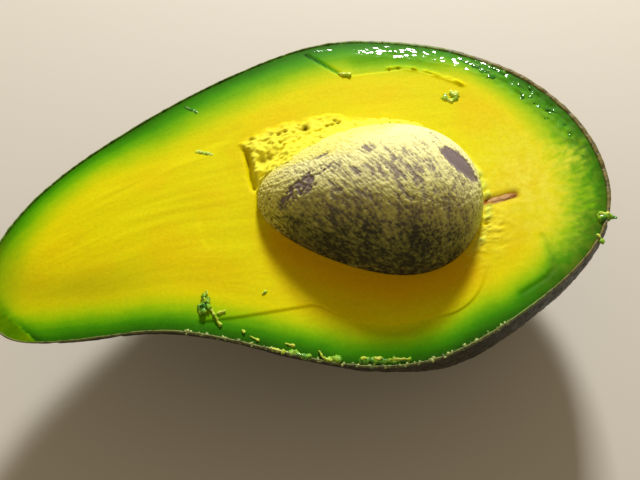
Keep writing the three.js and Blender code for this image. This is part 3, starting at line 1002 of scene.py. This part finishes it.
def seedStone():
    form = seedMesh
    body = bmesh.new()
    bmesh.ops.create_uvsphere(body, u_segments=form["around"], v_segments=form["along"], radius=1)
    unit = placesOf(body)[:, [2, 0, 1]]  # the poles go to the seed's two ends
    ball = unit * np.array([seedForm["length"] / 2, seedForm["radius"], seedForm["radius"]])
    # strokes run steeply over the seed's flank, and turn flatter towards its near side
    marks = seedMarks
    run, side, up = ball.T
    runShare, sideShare = marks["steepRun"]
    steep = np.stack([run * runShare + side * sideShare, run * sideShare - side * runShare, up], axis=1)
    runShare, sideShare = marks["flatRun"]
    flat = np.stack([side * sideShare + run * runShare, run, up], axis=1)
    nearSide = smoothstep(-unit[:, 1], 0.45, 0.7)
    strokes = noiseOver(steep, (0.85, 3.4, 3.6), 3, 3.0) * (1 - nearSide)
    strokes = strokes + noiseOver(flat, (0.7, 2.0, 0.9), 3, 13.0) * nearSide
    grains = noiseOver(ball, 0.62, 3, 11.0)
    patch = noiseOver(ball, 4.5, 3, 5.0)
    # painted light and shade: lift measures how far each part faces the key light; colours are lighter there
    # and darker on the near, lower side, and the film it adds is partly thicker film and partly painted light
    toLight = 0.72 * unit[:, 1] + 0.7 * unit[:, 2] + 0.1 * patch + 0.3 * smoothstep(unit[:, 0], 0.5, 0.95)
    lift = smoothstep(toLight, -0.62, 0.85)
    left = smoothstep(-unit[:, 0], 0.3, 0.6)
    seedAround = np.arctan2(unit[:, 1], unit[:, 0]) % (2 * np.pi)
    lipAngle, torn = lipElevation(seedAround)
    over = np.degrees(np.arcsin(np.clip(unit[:, 2], -1, 1)) - lipAngle)
    yellow = torn * (1 - smoothstep(over + 9 * grains, 4, 34)) * smoothstep(unit[:, 1], -0.05, 0.25)
    yellow = np.maximum(yellow, 0.55 * smoothstep(-unit[:, 0], 0.62, 0.9) * (0.7 + grains))

    film = 0.41 + 0.26 * lift + 0.3 * strokes * (1 - 0.6 * left) + 0.2 * grains + 0.12 * patch + 0.1 * left
    film = film + 0.35 * smoothstep(toLight, 0.72, 0.95) + 0.5 * yellow
    film = film + 0.14 * smoothstep(unit[:, 0], 0.5, 0.9)
    for spot, size, amount in marks["thin"]:
        film = film - amount * around(unit[:, 0], unit[:, 1], spot, size, marks["thinTurn"])
    rag = 0.3 * grains + 0.15 * patch
    bare = ovalMask(unit + 0.05 * rag[:, None], *marks["bare"])
    rubbed = ovalMask(unit + 0.3 * rag[:, None], *marks["rubbed"])
    bare = np.maximum(bare, 0.8 * rubbed * smoothstep(0.4 * strokes + 0.5 * grains, 0.5, -0.4))
    blunt = within(np.degrees(np.arctan2(unit[:, 1], unit[:, 0])), -30, 80, 20)
    greenEdge = 0.8 * blunt * smoothstep(np.hypot(unit[:, 0], unit[:, 1]) + 0.06 * grains, 0.9, 0.98)
    film = np.clip(film - 1.1 * bare + 0.5 * greenEdge, 0, 1.1)
    moveTo(body, seedSurface(unit, 0))
    rise = form["filmHeight"] * (film - 0.55) + form["grainHeight"] * grains * (1 - bare)
    displace(body, np.clip(rise, -0.35, 0.35))
    masks = {
        "film": film,
        "bare": bare,
        "lift": lift,
        "yellow": np.clip(yellow, 0, 1),
        "greenEdge": greenEdge,
    }
    finishPiece(body, "avocadoStone", seedMaterial(), "seed", masks)


# The brown strand in its groove at the seed's blunt end.
strandForm = {"start": (26.9, -8.4), "end": (33, -7.8), "width": (0.95, 0.5), "height": 0.3, "sink": 0.5}
strandLook = {
    "light": tint(204, 164, 112),
    "dark": tint(170, 124, 66),
    # painted shade: a dark brown for the strand's far end, where it runs into a hole
    "endShade": tint(150, 92, 24),
    "lines": {"Turn": -0.1, "Along": 0.25, "Across": 2.6},
}


def strandMaterial():
    material, nodes, place = newMaterial("seedStrandFibre")
    lines = nodes.group(fibres, {"Place": place, **strandLook["lines"]})
    colour = nodes.mix(lines["Mask"], strandLook["dark"], strandLook["light"])
    colour = nodes.mix(nodes.mask("endShade"), colour, strandLook["endShade"])
    surface(nodes, colour, 0.6, lines["Noise"], 0.12, Specular_IOR_Level=0.2)
    return material


def seedStrand():
    form = strandForm
    start, end = Vector(form["start"]), Vector(form["end"])
    run = end - start
    body = bmesh.new()
    bmesh.ops.create_uvsphere(body, u_segments=24, v_segments=40, radius=1)
    unit = placesOf(body)
    share = unit[:, 2]
    width = form["width"][0] + (form["width"][1] - form["width"][0]) * (share + 1) / 2
    wobble = 1 + 0.25 * noiseOver(unit * (3, 3, 9), 2.0, 2)
    # a rod with round ends: each ring keeps its full radius except close to the ends
    full = np.sqrt(np.clip(1 - share**8, 0, 1)) / np.maximum(np.sqrt(1 - np.clip(share**2, 0, 0.9999)), 0.01)
    sideways = unit[:, 0] * full * width * wobble
    direction = run.normalized()
    middle = (start + end) / 2
    x = middle.x + direction.x * share * run.length / 2 - direction.y * sideways
    y = middle.y + direction.y * share * run.length / 2 + direction.x * sideways
    z = fruit["cutHeight"] - form["sink"] + unit[:, 1] * full * form["height"] * wobble
    moveTo(body, np.stack([x, y, z], axis=1))
    # painted shade: the strand darkens towards its far end, where it runs into a hole
    masks = {"endShade": 0.85 * smoothstep(share, 0.1, 0.9)}
    finishPiece(body, "seedStrandFibre", strandMaterial(), "seed_strand", masks)


# Crumbs and shreds of flesh on the cut face, and small pale dots on some of them as painted highlights: each
# is a row of small dented lumps along a short line.
# Its points, its half widths at both ends, its height over the cut face, and how flat it is.
shreds = {
    "green": [
        ([(-29, -16), (-29, -17.5), (-29.5, -19)], (0.4, 0.7), 0.3, 1.0),
        ([(-28.5, -17), (-28.5, -18.5)], (0.4, 0.5), 0.4, 1.0),
        ([(-30, -18), (-30, -19.5)], (0.4, 0.3), 0.15, 0.8),
        ([(-16, -29.8), (-13, -31.5)], (0.35, 0.65), 0.15, 0.6),
        ([(-9.5, -32.5), (-8, -33)], (0.4, 0.6), 0.15, 0.6),
        ([(-4, -34), (-2, -34.5), (0, -35), (4, -35.7)], (0.6, 0.4), 0.0, 0.6),
        ([(46.8, -16.2), (49.6, -16.8)], (0.95, 0.3), 0.0, 0.6),
        ([(45, -19.8), (45.2, -21.2)], (0.5, 0.45), -0.1, 0.6),
    ],
    "limeAndGlints": [
        # painted highlights: these first three are small pale dots on top of the green lump, standing for its
        # glints
        ([(-28.9, -17), (-28.9, -17.6)], (0.2, 0.25), 0.85, 0.8),
        ([(-30, -19.3), (-30, -19.6)], (0.2, 0.2), 0.4, 0.8),
        ([(-28.4, -15.4), (-28.3, -15.9)], (0.18, 0.2), 0.3, 0.8),
        ([(-28, -19), (-27.5, -21), (-27, -22.3)], (0.2, 0.26), 0.2, 0.8),
        ([(-27, -20), (-25.9, -20)], (0.28, 0.32), 0.15, 0.8),
        ([(-23.3, -24.1), (-23.2, -24.6)], (0.24, 0.28), 0.15, 0.8),
        ([(-22.2, -25.5), (-21, -26.5)], (0.15, 0.24), 0.05, 0.8),
        ([(-18.5, -18), (-18, -17.6)], (0.2, 0.26), 0.1, 0.8),
        ([(-16.3, -28.2), (-15.2, -28.8)], (0.2, 0.28), 0.05, 0.7),
        ([(-19.4, -28.4), (-16.5, -29.8)], (0.28, 0.34), 0.05, 0.6),
        ([(-11, -30.8), (-10.6, -32.2), (-9.4, -33)], (0.12, 0.28), 0.3, 0.9),
        # painted highlights: the next two are pale dots on top of the green lumps by the near rim, standing
        # for their glints
        ([(-3.9, -33.8), (-3.5, -33.9)], (0.26, 0.26), 0.35, 0.8),
        ([(-1.6, -34.3), (-0.8, -34.4)], (0.3, 0.24), 0.3, 0.8),
        ([(0.6, -34.9), (4, -35.6)], (0.2, 0.24), 0.2, 0.8),
        ([(6.4, 27.8), (8, 27.1)], (0.32, 0.44), 0.2, 0.7),
        ([(26.4, 18), (26, 17), (27, 16.2), (28.3, 16.6), (28.6, 17.6), (27.8, 18.2)],
         (0.46, 0.56), 0.05, 0.6),
        # painted highlights: these two are pale dots on top of the green bits at the right rim, standing for
        # their glints
        ([(47, -15.6), (48.2, -15.9)], (0.4, 0.25), 0.4, 0.7),
        ([(44.8, -19.9), (45, -20.2)], (0.24, 0.22), 0.35, 0.8),
        ([(-25.4, 15), (-22.8, 13.7)], (0.5, 0.4), -0.05, 0.35),
    ],
    "wet": [
        ([(32, 27), (34.5, 24), (37.2, 20.6)], (0.6, 0.85), -0.03, 0.12),
        ([(35.6, 25.6), (40, 21)], (0.4, 0.5), -0.03, 0.13),
        ([(2.5, 35), (6, 34.7)], (0.4, 0.3), -0.03, 0.13),
        ([(-26.3, 26.7), (-24.2, 24.6)], (0.3, 0.3), -0.02, 0.2),
    ],
}
shredLook = {
    "green": (tint(60, 134, 8), tint(140, 194, 34), 0.4, 0.35),
    "limeAndGlints": (tint(160, 204, 24), tint(222, 234, 84), 0.4, 0.25),
    "wet": (tint(40, 120, 16), tint(74, 150, 10), 0.1, 1.0),
}
shredPatches = (0.9, 3.0, 0.38, 0.62)  # scale, detail and the two levels
lumpForm = {"spacing": 0.5, "stray": 0.4, "swell": 0.6, "dent": 0.8}  # in half widths or shares


def shredMaterial(name):
    first, second, roughness, coat = shredLook[name]
    material, nodes, place = newMaterial(name + "Shreds")
    cloud = patchesAt(nodes, place, *shredPatches)
    colour = nodes.mix(cloud["Mask"], first, second)
    surface(
        nodes,
        colour,
        roughness,
        cloud["Noise"],
        0.06,
        Coat_Weight=coat,
        Coat_Roughness=0.05,
        Specular_IOR_Level=0.3,
        Subsurface_Weight=0.2,
        Subsurface_Radius=(0.6, 0.9, 0.1),
        Subsurface_Scale=0.0006,
    )
    return material


def addLump(body, place, radius, flatness):
    # a dented ball; its dents come from its own place
    made = bmesh.ops.create_icosphere(body, subdivisions=2, radius=1)["verts"]
    shift = Vector((place[0] * 1.7, place[1] * 1.3, 0))
    for vertex in made:
        dent = 1 + lumpForm["dent"] * noise.fractal(vertex.co * 0.9 + shift, 1.0, 2.0, 2)
        x, y, z = vertex.co * radius * dent
        vertex.co = (place[0] + x, place[1] + y, place[2] + z * flatness)


def addShred(body, points, widths, lift, flatness):
    xs, ys = np.array(points).T
    run = np.concatenate([[0], np.cumsum(np.hypot(np.diff(xs), np.diff(ys)))])
    count = max(2, round(run[-1] / (lumpForm["spacing"] * sum(widths) / 2)) + 1)
    shares = np.linspace(0, 1, count)
    x = np.interp(shares, run / run[-1], xs)
    y = np.interp(shares, run / run[-1], ys)
    stray = lumpForm["stray"] * min(widths)
    for share, a, b in zip(shares, x, y):
        right, back = (stray * noise.noise((a * 2.3, b * 2.3, level)) for level in (9, 6))
        a, b = a + right, b + back
        height = float(cutHeightAt(np.array([a]), np.array([b]))[0])
        swell = 1 + lumpForm["swell"] * noise.noise((a * 1.9, b * 1.9, 4))
        radius = (widths[0] + (widths[1] - widths[0]) * share) * swell
        addLump(body, (a, b, height + lift), radius, flatness)


# Drops of juice along the far rim: a line that they lie by, how many, how far from it, and their sizes.
juice = [
    ([(42, 16.8), (44.5, 12.7), (46.2, 8)], 26, 1.0, (0.3, 0.6)),
    ([(46.6, 6.5), (48.2, 2.5), (48.6, -3)], 8, 0.7, (0.28, 0.45)),
]
dropForm = {"sink": 0.02, "flatness": 0.13, "seed": 5}


def addDrops(body):
    draws = np.random.default_rng(dropForm["seed"])
    for points, count, stray, (small, large) in juice:
        xs, ys = np.array(points).T
        shares = draws.random(count) * (len(points) - 1)
        x = np.interp(shares, range(len(points)), xs) + stray * draws.normal(size=count)
        y = np.interp(shares, range(len(points)), ys) + stray * draws.normal(size=count)
        sizes = small + (large - small) * draws.random(count) ** 2
        for a, b, height, radius in zip(x, y, cutHeightAt(x, y), sizes):
            if fromRim(a, b) > 1.2:
                addLump(body, (a, b, height - dropForm["sink"]), radius, dropForm["flatness"])


def makeShreds():
    for name, lines in shreds.items():
        body = bmesh.new()
        for points, widths, lift, flatness in lines:
            addShred(body, points, widths, lift, flatness)
        if name == "wet":
            addDrops(body)
        finishPiece(body, name + "Shreds", shredMaterial(name))


# The frayed skin along the near rim, as short pale bits that follow its edge.
rimFray = {"count": 120, "from": -34, "to": 24, "size": (0.12, 0.32), "inset": 0.3, "flatness": 0.6}
fraySkin = (tint(84, 110, 44), tint(172, 188, 104))
frayPatches = (0.8, 3.0, 0.38, 0.62)


def nearRimAt(x):
    place = 2 * (x - fruit["middle"]) / fruit["length"]
    return centreline(place) - halfWidth(place) * np.sqrt(1 - place**2)


def makeFray():
    form = rimFray
    steps = np.arange(form["count"])
    x = form["from"] + (form["to"] - form["from"]) * steps / form["count"] + 0.3 * np.sin(steps * 7.7)
    y = nearRimAt(x) + form["inset"] + 0.25 * np.sin(steps * 2.3)
    small, large = form["size"]
    radius = small + (large - small) * np.sin(steps * 3.7) ** 2
    body = bmesh.new()
    for a, b, c, r in zip(x, y, cutHeightAt(x, y), radius):
        addLump(body, (a, b, c + 0.05), r, form["flatness"])
    material, nodes, place = newMaterial("frayedSkin")
    cloud = patchesAt(nodes, place, *frayPatches)
    surface(nodes, nodes.mix(cloud["Mask"], *fraySkin), 0.6, cloud["Noise"], 0.1)
    finishPiece(body, "frayedRim", material)


print("flesh")
fleshBody()
print("skin")
skinShell()
print("seed")
seedStone()
seedStrand()
print("shreds and frayed rim")
makeShreds()
makeFray()

# The studio: a pale floor, a key light from behind the fruit and a soft fill.
studio = {
    "floor": tint(205, 200, 190),
    "floorSize": 3,
    "floorRoughness": 0.8,
    "cameraAt": (-21.9, -80.7, 171.2),
    "aim": (-6.1, -9.5, 34),
    "lens": 46.89,
    "sensor": 36,
    "keyFrom": (0.32, 0.947, 0.71),
    "keyDistance": 0.6,
    "keySize": 0.09,
    "keyPower": 4.5,
    "keyColour": (1.0, 0.98, 0.94),
    "world": (1.0, 0.82, 0.56, 1),
    "worldStrength": 0.32,
}


def makeStudio():
    floorMesh = bpy.data.meshes.new("floor")
    plane = bmesh.new()
    bmesh.ops.create_grid(plane, x_segments=1, y_segments=1, size=studio["floorSize"])
    plane.to_mesh(floorMesh)
    plane.free()
    floor = bpy.data.objects.new("floor", floorMesh)
    bpy.context.scene.collection.objects.link(floor)
    paint = bpy.data.materials.new("paleFloor")
    paint.use_nodes = True
    shader = paint.node_tree.nodes["Principled BSDF"]
    shader.inputs["Base Color"].default_value = studio["floor"]
    shader.inputs["Roughness"].default_value = studio["floorRoughness"]
    floorMesh.materials.append(paint)

    world = bpy.data.worlds.new("studio")
    world.use_nodes = True
    world.node_tree.nodes["Background"].inputs["Color"].default_value = studio["world"]
    world.node_tree.nodes["Background"].inputs["Strength"].default_value = studio["worldStrength"]
    bpy.context.scene.world = world

    direction = Vector(studio["keyFrom"]).normalized()
    lamp = bpy.data.lights.new("key", "AREA")
    lamp.size = studio["keySize"]
    lamp.energy = studio["keyPower"]
    lamp.color = studio["keyColour"]
    key = bpy.data.objects.new("key", lamp)
    key.location = direction * studio["keyDistance"]
    key.rotation_euler = direction.to_track_quat("Z", "Y").to_euler()
    bpy.context.scene.collection.objects.link(key)

    lens = bpy.data.cameras.new("camera")
    lens.lens = studio["lens"]
    lens.sensor_width = studio["sensor"]
    lens.clip_start = 0.01
    camera = bpy.data.objects.new("camera", lens)
    camera.location = Vector(studio["cameraAt"]) * mm
    aim = Vector(studio["aim"]) * mm - camera.location
    camera.rotation_euler = aim.to_track_quat("-Z", "Y").to_euler()
    bpy.context.scene.collection.objects.link(camera)
    bpy.context.scene.camera = camera
    bpy.context.scene.view_settings.view_transform = "Standard"


makeStudio()
print("studio ready")
